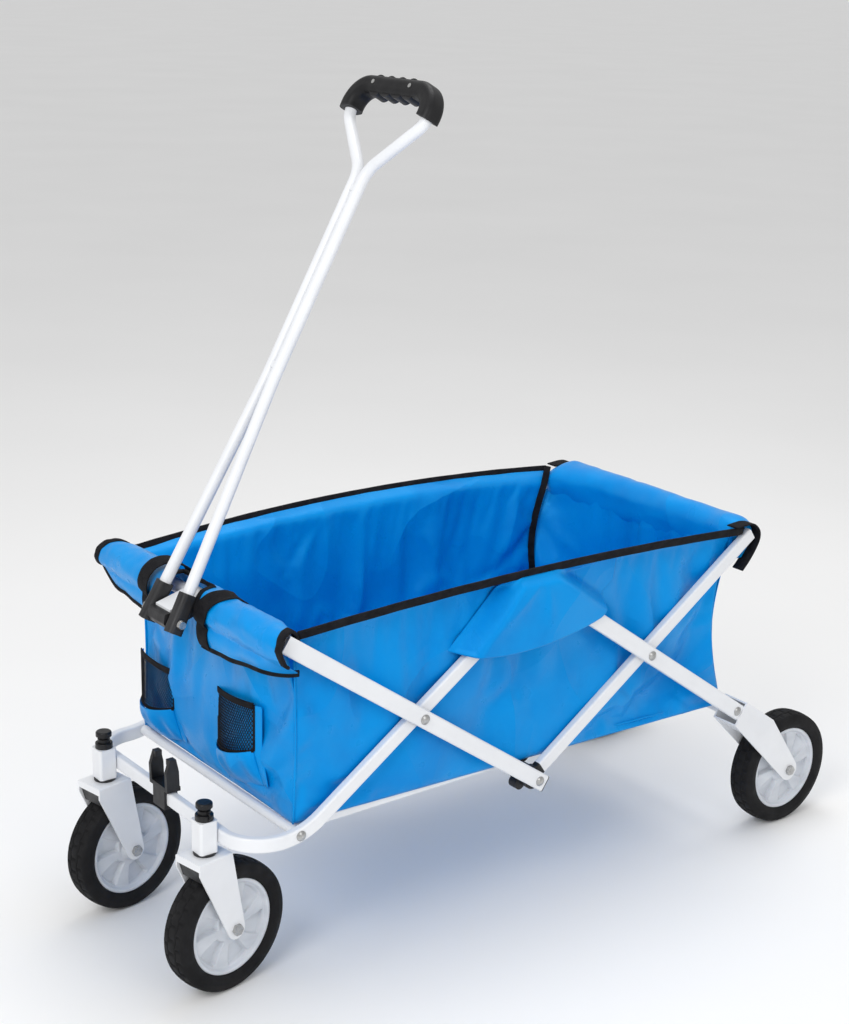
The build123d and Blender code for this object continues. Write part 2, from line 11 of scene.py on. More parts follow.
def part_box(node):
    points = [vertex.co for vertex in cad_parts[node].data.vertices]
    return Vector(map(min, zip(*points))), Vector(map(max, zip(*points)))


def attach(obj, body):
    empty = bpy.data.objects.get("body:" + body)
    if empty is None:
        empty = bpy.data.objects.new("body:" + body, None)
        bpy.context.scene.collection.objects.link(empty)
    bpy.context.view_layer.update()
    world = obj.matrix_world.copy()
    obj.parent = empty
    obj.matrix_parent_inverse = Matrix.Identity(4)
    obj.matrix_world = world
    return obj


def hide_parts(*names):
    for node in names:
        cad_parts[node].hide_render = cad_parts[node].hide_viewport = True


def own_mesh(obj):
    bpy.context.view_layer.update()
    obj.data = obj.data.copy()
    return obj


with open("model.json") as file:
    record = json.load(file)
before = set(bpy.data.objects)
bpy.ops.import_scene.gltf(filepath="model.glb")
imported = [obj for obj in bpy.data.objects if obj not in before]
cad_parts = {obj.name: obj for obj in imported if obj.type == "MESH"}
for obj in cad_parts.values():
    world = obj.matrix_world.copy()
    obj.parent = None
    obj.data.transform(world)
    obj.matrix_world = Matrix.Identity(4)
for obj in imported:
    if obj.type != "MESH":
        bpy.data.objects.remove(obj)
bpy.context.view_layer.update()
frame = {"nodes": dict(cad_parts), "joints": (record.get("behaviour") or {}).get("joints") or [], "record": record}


# ------------------------------------------------------------------ places read from the frame
def middle(node):
    low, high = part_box(node)
    return (low + high) / 2


MID_X = middle("centre_tube").x                              # the fold's middle plane
FRONT_TUBE, REAR_TUBE = middle("front_top_tube"), middle("rear_top_tube")
FLOOR_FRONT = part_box("floor_frame_front")
FLOOR_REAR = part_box("floor_frame_rear")
BAR_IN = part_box("rear_scissor_bar_left")[0].y                # inner face of the inner bars
BAR_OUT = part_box("front_scissor_bar_left")[1].y              # outer face of the outer bars
HIGH_PIVOT = middle("top_pivot_bolts")

WALL_Y = BAR_IN - 0.0065          # side walls of the tub
RIM_END_Z, RIM_RISE = 0.4995, 0.0165
RIM_END_Y, RIM_BOW = BAR_IN + 0.0085, 0.0105
FRONT_SEAM, REAR_SEAM = FRONT_TUBE.x - 0.0225, REAR_TUBE.x + 0.0150
SLEEVE_R = 0.0245
SLEEVE_AT = Vector((FRONT_TUBE.x + 0.0045, 0, FRONT_TUBE.z))
REAR_SLEEVE_AT = Vector((REAR_TUBE.x - 0.002, 0, REAR_TUBE.z + 0.002))
SLEEVE_FRONT_Y, SLEEVE_BACK_Y = BAR_OUT + 0.0130, BAR_IN + 0.0090
CLOTH = 0.0011                    # thickness of the coated fabric
WALL_TURN = 0.93                  # share of a side wall's height where it turns out over the bars
FRONT_PANEL_TOP = 0.470           # height where the front panel meets its sleeve


# ------------------------------------------------------------------ materials
class Finish:
    """A principled material with short ways to add and link its nodes."""

    def __init__(self, name, roughness, metallic=0.0, **sockets):
        self.material = bpy.data.materials.new(name)
        self.material.use_nodes = True
        self.tree = self.material.node_tree
        self.shader = self.tree.nodes["Principled BSDF"]
        self.shader.inputs["Metallic"].default_value = metallic
        self.shader.inputs["Roughness"].default_value = roughness
        for socket, value in sockets.items():
            self.shader.inputs[socket.replace("_", " ")].default_value = value
        self.where = self.tree.nodes.new("ShaderNodeTexCoord").outputs["Object"]
        self.normal = None

    def node(self, kind, inputs=(), **settings):
        made = self.tree.nodes.new("ShaderNode" + kind)
        for key, value in settings.items():
            setattr(made, key, value)
        for key, value in dict(inputs).items():
            if isinstance(value, bpy.types.NodeSocket):
                self.tree.links.new(value, made.inputs[key])
            else:
                made.inputs[key].default_value = value
        return made

    def noise(self, scale, detail=2.0, rough=0.5, stretch=None):
        where = self.where
        if stretch:
            where = self.node("Mapping", {"Vector": where, "Scale": stretch}).outputs[0]
        inputs = {"Vector": where, "Scale": scale, "Detail": detail, "Roughness": rough}
        return self.node("TexNoise", inputs).outputs[0]

    def ramp(self, factor, *stops):
        """A colour or grey ramp through (position, value) stops."""
        made = self.node("ValToRGB", {"Fac": factor})
        elements = made.color_ramp.elements
        while len(elements) < len(stops):
            elements.new(0.5)
        for element, (position, value) in zip(elements, stops):
            element.position = position
            element.color = (value, value, value, 1) if isinstance(value, (int, float)) else (*value, 1)
        return made.outputs[0]

    def wave(self, scale, direction, distortion=0.0):
        inputs = {"Vector": self.where, "Scale": scale, "Distortion": distortion, "Detail": 1.0}
        return self.node("TexWave", inputs, bands_direction=direction).outputs["Fac"]

    def sum(self, a, b):
        return self.node("Math", {0: a, 1: b}, operation="ADD").outputs[0]

    def colour(self, socket):
        self.tree.links.new(socket, self.shader.inputs["Base Color"])

    def rough(self, socket):
        self.tree.links.new(socket, self.shader.inputs["Roughness"])

    def bump(self, height, distance, strength=1.0):
        inputs = {"Height": height, "Distance": distance, "Strength": strength}
        if self.normal is not None:
            inputs["Normal"] = self.normal
        self.normal = self.node("Bump", inputs).outputs[0]
        self.tree.links.new(self.normal, self.shader.inputs["Normal"])


def worn_edges(finish, base, worn, amount=0.5):
    """Mix base towards worn where the surface turns sharply, broken up by noise."""
    sharp = finish.node("NewGeometry").outputs["Pointiness"]
    edge = finish.ramp(sharp, (0.53, 0.0), (0.62, amount))
    patchy = finish.node("Math", {0: edge, 1: finish.noise(60, 3)}, operation="MULTIPLY").outputs[0]
    return finish.node("MixRGB", {"Fac": patchy, "Color1": base, "Color2": (*worn, 1)}).outputs[0]


def painted_metal():
    """White powder coat: fine orange peel, faint cloudy tone, slightly dulled edges."""
    f = Finish("white_powder_coat", 0.36, Coat_Weight=0.08, Coat_Roughness=0.25)
    tone = f.ramp(f.noise(14, 4), (0.3, (0.74, 0.755, 0.785)), (0.7, (0.80, 0.815, 0.84)))
    f.colour(worn_edges(f, tone, (0.70, 0.71, 0.73)))
    f.rough(f.ramp(f.noise(45, 3), (0.35, 0.28), (0.65, 0.42)))
    f.bump(f.noise(900, 2), 0.00012, 0.35)
    return f.material


def black_plastic(name, dark, light, roughness, grain):
    """Moulded black plastic with fine spark-eroded grain and greyer rubbed edges."""
    f = Finish(name, roughness, Specular_IOR_Level=0.28)
    tone = f.ramp(f.noise(30, 3), (0.3, dark), (0.7, light))
    f.colour(worn_edges(f, tone, (0.045, 0.045, 0.048), 0.7))
    f.rough(f.ramp(f.noise(80, 2), (0.3, roughness - 0.07), (0.7, roughness + 0.08)))
    f.bump(f.noise(grain, 2), 0.0002, 0.5)
    return f.material


def steel():
    """Zinc-plated steel with fine brush lines."""
    f = Finish("zinc_plated_steel", 0.3, metallic=1.0)
    f.colour(f.ramp(f.noise(120, 3), (0.3, (0.34, 0.34, 0.34)), (0.7, (0.52, 0.52, 0.51))))
    f.rough(f.ramp(f.noise(260, 3), (0.3, 0.2), (0.7, 0.42)))
    f.bump(f.noise(700, 2, stretch=(1, 6, 1)), 0.00008, 0.4)
    return f.material


def tyre_rubber():
    """Matt black foam rubber with a little grey dust on the tread."""
    f = Finish("tyre_rubber", 0.72, Specular_IOR_Level=0.2)
    tone = f.ramp(f.noise(18, 4), (0.35, (0.005, 0.005, 0.006)), (0.75, (0.012, 0.012, 0.013)))
    f.colour(worn_edges(f, tone, (0.040, 0.040, 0.039), 0.6))
    f.rough(f.ramp(f.noise(55, 3), (0.3, 0.62), (0.7, 0.84)))
    f.bump(f.noise(1100, 2), 0.0002, 0.55)
    return f.material


def rim_plastic():
    """Light grey moulded rim, satin, with slight flow marks."""
    f = Finish("rim_plastic", 0.36, Subsurface_Weight=0.04, Subsurface_Scale=0.003)
    flow = f.noise(22, 4, stretch=(1, 1, 2.5))
    tone = f.ramp(flow, (0.3, (0.52, 0.55, 0.60)), (0.7, (0.62, 0.65, 0.70)))
    f.colour(worn_edges(f, tone, (0.50, 0.51, 0.53)))
    f.rough(f.ramp(f.noise(70, 2), (0.3, 0.3), (0.7, 0.46)))
    f.bump(f.noise(750, 2), 0.00012, 0.4)
    return f.material


def coated_fabric():
    """Bright blue coated polyester: plain weave under a satin coating, cloudy tone, crumpled surface."""
    f = Finish("blue_coated_fabric", 0.33, Specular_IOR_Level=0.55, Specular_Tint=(0.12, 0.62, 1.0, 1))
    f.colour(f.ramp(f.noise(7, 5, 0.6), (0.25, (0.0, 0.200, 0.60)), (0.5, (0.0, 0.250, 0.68)),
                    (0.8, (0.0, 0.285, 0.73))))
    f.rough(f.ramp(f.noise(35, 4), (0.3, 0.26), (0.7, 0.42)))
    weave = f.sum(f.sum(f.wave(420, "X"), f.wave(420, "Z")), f.wave(420, "Y"))
    f.bump(weave, 0.00012, 0.25)
    ridged = {"Vector": f.where, "Scale": 5.0, "Detail": 1.6, "Roughness": 0.4, "Distortion": 0.25,
              "Offset": 1.0, "Gain": 1.0}
    crumple = f.node("TexNoise", ridged, noise_type="RIDGED_MULTIFRACTAL")
    f.bump(crumple.outputs[0], 0.020, 0.42)
    f.bump(f.noise(26, 3), 0.0022, 0.35)
    return f.material


def webbing():
    """Black woven tape with ribs across it."""
    f = Finish("black_webbing", 0.8, Specular_IOR_Level=0.15)
    f.colour(f.ramp(f.noise(90, 3), (0.3, (0.004, 0.004, 0.006)), (0.7, (0.013, 0.013, 0.015))))
    ribs = f.sum(f.sum(f.wave(260, "X", 0.4), f.wave(260, "Y", 0.4)), f.wave(260, "Z", 0.4))
    f.bump(ribs, 0.0004, 0.6)
    return f.material


MATERIALS = {
    "painted_frame": painted_metal(),
    "black_fittings": black_plastic("moulded_black_plastic", (0.005, 0.005, 0.006), (0.013, 0.013, 0.014),
                                    roughness=0.42, grain=650),
    "release_caps": black_plastic("satin_black_plastic", (0.004, 0.004, 0.005), (0.010, 0.010, 0.011),
                                  roughness=0.34, grain=900),
    "grip": black_plastic("ribbed_grip_plastic", (0.004, 0.004, 0.005), (0.010, 0.010, 0.011),
                          roughness=0.5, grain=420),
    "bolts": steel(),
    "tyres": tyre_rubber(),
    "rims": rim_plastic(),
    "tub_fabric": coated_fabric(),
}
WEBBING = webbing()
FABRIC = MATERIALS["tub_fabric"]


def finish_cad_nodes():
    """Give every CAD node that stays in view the finish of its slot."""
    for subpart in frame["record"]["subparts"]:
        node = frame["nodes"][subpart["node"]]
        node.data.materials.clear()
        node.data.materials.append(MATERIALS[subpart["material_slot"]])


# ------------------------------------------------------------------ mesh helpers
def add_mesh(name, points, faces, material, smooth=True):
    mesh = bpy.data.meshes.new(name)
    mesh.from_pydata([tuple(p) for p in points], [], [tuple(f) for f in faces])
    mesh.validate()
    mesh.materials.append(material)
    mesh.polygons.foreach_set("use_smooth", [smooth] * len(mesh.polygons))
    made = bpy.data.objects.new(name, mesh)
    bpy.context.scene.collection.objects.link(made)
    return made


def apply_modifiers(piece):
    """Replace the piece's mesh by what its modifiers make of it."""
    graph = bpy.context.evaluated_depsgraph_get()
    made = bpy.data.meshes.new_from_object(piece.evaluated_get(graph))
    piece.modifiers.clear()
    piece.data = made
    return piece


def grid_faces(rows, columns, skip=None):
    """Four-sided faces over a grid of points; skip(row, column) leaves faces out."""
    faces = []
    for r in range(rows - 1):
        for c in range(columns - 1):
            if skip and skip(r, c):
                continue
            a = r * columns + c
            faces.append((a, a + 1, a + columns + 1, a + columns))
    return faces


def sheet(name, place, rows, columns, thickness=CLOTH):
    """A thick smooth sheet of fabric over the unit square, where place(u, v) gives each point."""
    points = [place(c / (columns - 1), r / (rows - 1)) for r in range(rows) for c in range(columns)]
    return thicken(add_mesh(name, points, grid_faces(rows, columns), FABRIC), thickness)


def thicken(piece, thickness=CLOTH):
    """Smooth a one-sided mesh, give it thickness and drop the points that belong to no face."""
    piece.modifiers.new("smooth", "SUBSURF").levels = 1
    solid = piece.modifiers.new("thick", "SOLIDIFY")
    solid.thickness = thickness
    solid.offset = 0
    apply_modifiers(piece)
    loose = bmesh.new()
    loose.from_mesh(piece.data)
    bmesh.ops.delete(loose, geom=[v for v in loose.verts if not v.link_faces], context="VERTS")
    loose.to_mesh(piece.data)
    loose.free()
    return piece


def rounded_section(width, height, corner=0.45, steps=3):
    """A closed rounded rectangle as (across, out) offsets."""
    r = corner * min(width, height)
    section = []
    for turn, (sx, sy) in enumerate(((1, 1), (-1, 1), (-1, -1), (1, -1))):
        for k in range(steps + 1):
            a = math.radians(90 * turn + 90 * k / steps)
            section.append((sx * (width / 2 - r) + r * math.cos(a), sy * (height / 2 - r) + r * math.sin(a)))
    return section


def sweep(name, path, section, out, material):
    """Sweep a section along a path of points; out(i, tangent) gives the section's outward direction."""
    path = [Vector(p) for p in path]
    points = []
    for i, at in enumerate(path):
        tangent = (path[min(i + 1, len(path) - 1)] - path[max(i - 1, 0)]).normalized()
        outward = Vector(out(i, tangent))
        outward = (outward - outward.dot(tangent) * tangent).normalized()
        across = tangent.cross(outward)
        points += [at + a * across + b * outward for a, b in section]
    n = len(section)
    faces = []
    for i in range(len(path) - 1):
        for j in range(n):
            faces.append((i * n + j, i * n + (j + 1) % n, (i + 1) * n + (j + 1) % n, (i + 1) * n + j))
    faces.append(tuple(reversed(range(n))))
    faces.append(tuple((len(path) - 1) * n + j for j in range(n)))
    return add_mesh(name, points, faces, material)


def smoothstep(x):
    x = min(max(x, 0.0), 1.0)
    return x * x * (3 - 2 * x)


def mix(a, b, t):
    return a + (b - a) * t


def resample(path, step):
    """Points evenly spaced along a polyline, rounded by Catmull-Rom."""
    path = [Vector(p) for p in path]
    ends = [2 * path[0] - path[1]] + path + [2 * path[-1] - path[-2]]
    out = []
    for i in range(len(path) - 1):
        p0, p1, p2, p3 = ends[i:i + 4]
        count = max(2, int((p2 - p1).length / step))
        for k in range(count):
            t = k / count
            out.append(0.5 * (2 * p1 + (p2 - p0) * t + (2 * p0 - 5 * p1 + 4 * p2 - p3) * t * t
                              + (3 * p1 - p0 - 3 * p2 + p3) * t ** 3))
    return out + [path[-1]]


def on_tub(piece):
    """A fabric piece of the tub: it rises with the tub's body."""
    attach(piece, "basket")
    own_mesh(piece)
    return piece


# ------------------------------------------------------------------ shape of the tub
def along(x):
    """0 at the front seam, 1 at the rear seam."""
    return (FRONT_SEAM - x) / (FRONT_SEAM - REAR_SEAM)


def rim(x, side):
    """The rim's centre line: it rises and bows outwards over the high pivots."""
    bow = max(0.0, 1 - (2 * along(x) - 1) ** 2)
    return Vector((x, side * (RIM_END_Y + RIM_BOW * bow), RIM_END_Z + RIM_RISE * bow))


def wall_bottom(x):
    """Height of the tub's lower edge over the two halves of the floor frame."""
    front, rear = FLOOR_FRONT[1].z, FLOOR_REAR[0].z + 0.0105
    return mix(front + 0.0005, rear, along(x))


def front_seam_x(t):
    """The front corner seams bow slightly inwards half way up."""
    return FRONT_SEAM - 0.0035 * math.sin(math.pi * t)


def rear_seam_x(t, side):
    """The rear edges are cut hollow, so the corner seams pull in half way up, more so on the right."""
    pull = math.sin(math.pi * t)
    return REAR_SEAM + (0.031 * pull if side > 0 else 0.0276 * t + 0.047 * pull)


def ridge(value):
    """A sharp-crested wave: 1 on the crest."""
    return (1 - abs(math.sin(value))) ** 1.7


def creases(x, z, seed):
    """Tension folds that fan out from under the rim's middle, crossed by shorter crumples."""
    ray = Vector((x - MID_X - 0.02, z - 0.545))
    angle, far = math.atan2(ray.x, -ray.y), min(1.0, ray.length / 0.22)
    drift = noise.noise(Vector((angle * 1.6, far * 1.3, seed)))
    strength = 0.45 + 0.9 * noise.noise(Vector((angle * 2.1, far * 2, seed + 5)))
    fan = ridge(4.2 * angle + 2.2 * drift) * strength
    cross = ridge(x * 11 + z * 17 + 3.5 * noise.noise(Vector((x * 7, z * 7, seed + 2))))
    cross *= max(0.0, noise.noise(Vector((x * 6, z * 8, seed + 9))))
    slack = noise.noise(Vector((x * 6 + z * 4, z * 6 - x * 3, seed + 3)))
    return 0.027 * fan * far + 0.020 * cross + 0.008 * slack


def side_wall(side, rows=36, columns=100):
    """Rest shape of a side wall: upright inside the bars, then out over them to the rim."""
    points, pins = [], []
    for r in range(rows):
        v = r / (rows - 1)
        for c in range(columns):
            u = c / (columns - 1)
            x = mix(front_seam_x(v), rear_seam_x(v, side), u)
            top, low = rim(x, 1), wall_bottom(x)
            turn_z = top.z - 0.0075
            rise = min(1.0, v / WALL_TURN)
            z = mix(low, turn_z, rise) + (top.z - turn_z) * max(0.0, (v - WALL_TURN) / 0.07)
            y = mix(WALL_Y, top.y, smoothstep((v - 0.90) / 0.10))
            fade = math.sin(math.pi * rise) * min(1.0, 8 * u, 8 * (1 - u))
            points.append(Vector((x, side * (y + 0.003 * fade - fade * creases(x, z, 11 * side)), z)))
            pins.append(v > 0.9 or r == 0 or c in (0, columns - 1))
    return points, pins, rows, columns


def end_panel(place_x, top_z, seed, rows=32, columns=52):
    """Rest shape of the front or the rear panel between the corner seams."""
    points, pins = [], []
    for r in range(rows):
        v = r / (rows - 1)
        for c in range(columns):
            y = mix(-WALL_Y, WALL_Y, c / (columns - 1))
            x = place_x(v, y / WALL_Y)
            z = mix(wall_bottom(x), top_z, v)
            slack = noise.noise(Vector((y * 9, z * 7, seed)))
            folds = ridge(y * 31 + z * 9 + 3 * noise.noise(Vector((y * 8, z * 8, seed + 4))))
            folds *= max(0.0, 0.3 + noise.noise(Vector((y * 11, z * 6, seed + 6))))
            fade = math.sin(math.pi * v) * (1 - (y / WALL_Y) ** 6)
            points.append(Vector((x + fade * (0.005 * slack + 0.007 * folds), y, z)))
            pins.append(r in (0, rows - 1) or c in (0, columns - 1))
    return points, pins, rows, columns


def front_x(v, across):
    """The front panel bulges forwards and leans out to its sleeve at the top."""
    bulge = (1 - across ** 2) * (0.009 * math.sin(math.pi * v) - 0.003 * (1 - v))
    return front_seam_x(v) + bulge + 0.008 * smoothstep((v - 0.7) / 0.3)


def rear_x(v, across):
    """The rear panel hangs nearly straight in the middle and follows the hollow corner seams."""
    straight = REAR_SEAM + 0.0045 - 0.006 * math.sin(math.pi * v)
    return mix(straight, rear_seam_x(v, across), abs(across) ** 2.2)


def drape(panels, growth=-0.035, frames=28):
    """Let the pinned panels buckle: the cloth is cut a little larger than its frame."""
    points, pins, faces = [], [], []
    for place, held, rows, columns in panels:
        start = len(points)
        points += place
        pins += held
        faces += [tuple(start + i for i in f) for f in grid_faces(rows, columns)]
    piece = add_mesh("drape", points, faces, FABRIC)
    group = piece.vertex_groups.new(name="pin")
    group.add([i for i, held in enumerate(pins) if held], 1.0, "REPLACE")
    cloth = piece.modifiers.new("cloth", "CLOTH")
    cloth.settings.quality = 6
    cloth.settings.mass = 0.15
    cloth.settings.tension_stiffness = 12
    cloth.settings.compression_stiffness = 6
    cloth.settings.shear_stiffness = 4
    cloth.settings.bending_stiffness = 0.35
    cloth.settings.air_damping = 4
    cloth.settings.shrink_min = growth
    cloth.settings.vertex_group_mass = "pin"
    cloth.settings.effector_weights.gravity = 0.25
    cloth.point_cache.frame_start, cloth.point_cache.frame_end = 1, frames
    for f in range(1, frames + 1):
        bpy.context.scene.frame_set(f)
    graph = bpy.context.evaluated_depsgraph_get()
    draped = piece.evaluated_get(graph).data
    moved = [draped.vertices[i].co.copy() for i in range(len(points))]
    bpy.data.objects.remove(piece, do_unlink=True)
    bpy.context.scene.frame_set(1)
    return moved


def held_within(rest, moved, out, room_out, room_in):
    """Limit how far a draped point may go, out of the tub and into it, and stop hard folds."""
    shift = moved - rest
    depth = shift.dot(out)
    limit = room_out if depth > 0 else room_in
    soft = limit * math.tanh(depth / limit)
    slide = shift - depth * out
    if slide.length > 0.006:
        slide *= 0.006 / slide.length
    return rest + slide + soft * out


def tub_walls():
    """The four sewn panels, draped together and then thickened."""
    panels = {
        "tub_wall_left": (side_wall(1), Vector((0, 1, 0)), 0.0035, 0.015),
        "tub_wall_right": (side_wall(-1), Vector((0, -1, 0)), 0.0035, 0.024),
        "tub_wall_front": (end_panel(front_x, FRONT_PANEL_TOP, 21), Vector((1, 0, 0)), 0.010, 0.010),
        "tub_wall_rear": (end_panel(rear_x, REAR_SLEEVE_AT.z, 33), Vector((-1, 0, 0)), 0.006, 0.012),
    }
    shapes = [panel[0] for panel in panels.values()]
    rest = [p for shape in shapes for p in shape[0]]
    moved = drape(shapes)
    first = 0
    for name, ((points, _, rows, columns), out, room_out, room_in) in panels.items():
        final = [held_within(p, moved[first + i], out, room_out, room_in) for i, p in enumerate(points)]
        first += len(points)
        piece = add_mesh(name, final, grid_faces(rows, columns), FABRIC)
        on_tub(thicken(piece))
        if name == "tub_wall_left":
            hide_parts("basket")


# ------------------------------------------------------------------ bindings, seams and tapes
def tub_bindings():
    """Black tape round the rim, tape in the rear corners inside, corded seams at the front corners."""
    tape, flat_tape = rounded_section(0.0042, 0.0125), rounded_section(0.0105, 0.0024)
    piping = rounded_section(0.0026, 0.0026)
    for side, name in ((1, "left"), (-1, "right")):
        count = 70
        xs = [mix(FRONT_SEAM + 0.004, rear_seam_x(1, side) - 0.004, i / (count - 1)) for i in range(count)]
        wobble = [0.0007 * noise.noise(Vector((x * 24, side, 2))) for x in xs]
        path = [rim(x, side) + Vector((0, w, w)) for x, w in zip(xs, wobble)]
        on_tub(sweep(f"rim_binding_{name}", path, tape, lambda i, t: (0, 0.25 * side, 1), WEBBING))
        inset, above_rim = (0.0085, -0.004) if side > 0 else (0.0055, 0.012)
        seam = [(rear_seam_x(t, side) + 0.0055,
                 side * (WALL_Y - inset + 0.006 * max(0.0, t - 0.9) / 0.1),
                 mix(wall_bottom(REAR_SEAM), rim(REAR_SEAM, 1).z + above_rim, t))
                for t in np.linspace(0, 1, 30)]
        on_tub(sweep(f"corner_tape_{name}", seam, flat_tape, lambda i, t: (1, -side, 0), WEBBING))
        cord = [(front_seam_x(t) + 0.0008, side * (WALL_Y + 0.0008), mix(wall_bottom(FRONT_SEAM), 0.475, t))
                for t in np.linspace(0, 1, 24)]
        on_tub(sweep(f"corner_seam_{name}", cord, piping, lambda i, t: (1, side, 0), FABRIC))


def rear_loops():
    """Webbing loops at the rear corners, round the tips of the rear bars."""
    for side, name in ((1, "left"), (-1, "right")):
        y = side * (BAR_IN + 0.0055)
        route = [(0.0300, 0.0215), (0.0045, 0.0230), (-0.0095, 0.0200), (-0.0195, 0.0090), (-0.0200, -0.0035),
                 (-0.0130, -0.0175), (-0.0010, -0.0335), (0.0120, -0.0470)]
        path = resample([(REAR_TUBE.x + along_x, y, REAR_TUBE.z + up) for along_x, up in route], 0.003)
        centre = Vector((REAR_TUBE.x, y, REAR_TUBE.z - 0.008))

        def outward(i, tangent, path=path, centre=centre):
            return path[i] - centre

        on_tub(sweep(f"rear_loop_{name}", path, rounded_section(0.021, 0.0022), outward, WEBBING))


# ------------------------------------------------------------------ front sleeve, flap and straps
NOTCH = (-0.19, 0.17)             # share of the sleeve's half width left open for the handle's bracket
ARC_FROM, ARC_TO = 235.0, -42.0   # the sleeve's section, from the inside over the top to the front
SLEEVE_SHARE = 0.74               # share of the section that the arc takes, the flap takes the rest
HEM_AHEAD, HEM_DROP = 0.0145, 0.0495    # the flap's hem, from the sleeve's and the tube's centre
HEM_TURN_Y = 0.176                # where the left half of the hem starts to turn in


def flap_hem(across):
    """The flap's lower edge: a shallow curve that turns in to the corner seam on the left."""
    if across < 0:
        y = -across * SLEEVE_FRONT_Y
        z = FRONT_TUBE.z - HEM_DROP + 0.013 * min(y / 0.168, 1.0) ** 2
        z += 0.034 * max(0.0, (y - 0.17) / (SLEEVE_FRONT_Y - 0.17)) ** 2
        return Vector((SLEEVE_AT.x + HEM_AHEAD + 0.002 * noise.noise(Vector((-y * 30, 0, 3))), -y, z))
    arc = across * 0.232
    turn = max(0.0, arc - HEM_TURN_Y) / 0.056
    x = SLEEVE_AT.x + HEM_AHEAD - 0.037 * turn ** 1.5
    y = min(arc, HEM_TURN_Y) + 0.0325 * math.sin(turn * math.pi / 2)
    z = FRONT_TUBE.z - HEM_DROP + 0.0125 * min(arc / HEM_TURN_Y, 1.0) ** 2 - 0.004 * turn
    return Vector((x + 0.002 * noise.noise(Vector((y * 30, 0, 3))) * (1 - turn), y, z))


def sleeve_point(across, s, lift=0.0):
    """A point of the front sleeve and flap: across runs from -1 to 1, s from the inside to the hem."""
    arc = min(s / SLEEVE_SHARE, 1.0)
    angle = math.radians(mix(ARC_FROM, ARC_TO, arc))
    half = mix(SLEEVE_BACK_Y, SLEEVE_FRONT_Y, smoothstep(arc * 1.25 - 0.25))
    y = across * half
    puff = 1 + 0.07 * noise.noise(Vector((y * 18, angle * 1.3, 5)))
    puff += 0.05 * noise.noise(Vector((y * 55, angle * 2, 9)))
    puff += 0.05 * ridge(y * 26 + angle * 2.2 + 2 * noise.noise(Vector((y * 12, angle, 2))))
    puff -= 0.16 * max(0.0, abs(across) - 0.86) / 0.14
    r = SLEEVE_R * puff + lift
    at = SLEEVE_AT + Vector((r * math.cos(angle), y, r * math.sin(angle)))
    if s > SLEEVE_SHARE:
        down = (s - SLEEVE_SHARE) / (1 - SLEEVE_SHARE)
        at = at.lerp(flap_hem(across) + Vector((lift, 0, 0)), down)
        loose = max(0.0, 1 - max(0.0, abs(across) - 0.75) / 0.2)
        ripple = 0.0025 * down * noise.noise(Vector((y * 22, down, 8)))
        at.x += loose * (0.0035 * math.sin(math.pi * down) + ripple)
    return at


def front_sleeve():
    """One sheet over the front top tube that hangs down as a flap, notched for the handle's bracket."""
    right, notch, left = np.linspace(-1, NOTCH[0], 54), np.linspace(*NOTCH, 25), np.linspace(NOTCH[1], 1, 55)
    marks = np.concatenate([right, notch[1:-1], left])
    rows, columns = 44, len(marks)
    first, last = len(right) - 1, len(right) + len(notch) - 2
    open_row = int(0.36 * rows)
    points = [sleeve_point(a, r / (rows - 1)) for r in range(rows) for a in marks]
    faces = grid_faces(rows, columns, skip=lambda r, c: r >= open_row and first <= c < last)
    piece = add_mesh("front_sleeve", points, faces, FABRIC)
    on_tub(thicken(piece))

    tape, end_tape = rounded_section(0.0040, 0.0090), rounded_section(0.0045, 0.0125)
    for name, low, high in (("right", -1, NOTCH[0]), ("left", NOTCH[1], 1)):
        path = [sleeve_point(a, 1.0) for a in np.linspace(low, high, 60)]
        on_tub(sweep(f"flap_binding_{name}", path, tape, lambda i, t: (0.25, 0, -1), WEBBING))
    open_s = open_row / (rows - 1)
    for name, a in (("right", NOTCH[0]), ("left", NOTCH[1])):
        path = [sleeve_point(a, s) for s in np.linspace(open_s, 1.0, 30)]
        on_tub(sweep(f"notch_binding_{name}", path, tape, lambda i, t: (0, 1, 0), WEBBING))
    path = [sleeve_point(a, open_s) for a in np.linspace(*NOTCH, 24)]
    on_tub(sweep("notch_binding_top", path, tape, lambda i, t: (0.6, 0, 0.8), WEBBING))
    for name, side in (("right", -1), ("left", 1)):
        path = [sleeve_point(side, s) for s in np.linspace(0.06, SLEEVE_SHARE + 0.02, 44)]
        on_tub(sweep(f"sleeve_end_{name}", path, end_tape, lambda i, t: (0, 1, 0), WEBBING))


def sleeve_straps():
    """Two wide straps over the front sleeve: one lies flat and slanted, one stands up in a loop."""
    for name, low_y, high_y, loop in (("left", 0.050, 0.084, 0.0008), ("right", -0.092, -0.062, 0.008)):
        path = []
        for s in np.linspace(0.16, 1.0, 46):
            y = mix(high_y, low_y, smoothstep((s - 0.2) / 0.6))
            half = mix(SLEEVE_BACK_Y, SLEEVE_FRONT_Y, smoothstep(min(s / SLEEVE_SHARE, 1) * 1.25 - 0.25))
            lift = 0.0022 + loop * math.sin(math.pi * min(1.0, max(0.0, (s - 0.16) / 0.62)))
            path.append(sleeve_point(y / half, float(s), lift))

        def outward(i, tangent, path=path):
            return path[i].x - SLEEVE_AT.x + 0.01, 0, max(path[i].z - SLEEVE_AT.z, -0.002)

        on_tub(sweep(f"sleeve_strap_{name}", path, rounded_section(0.025, 0.0020), outward, WEBBING))


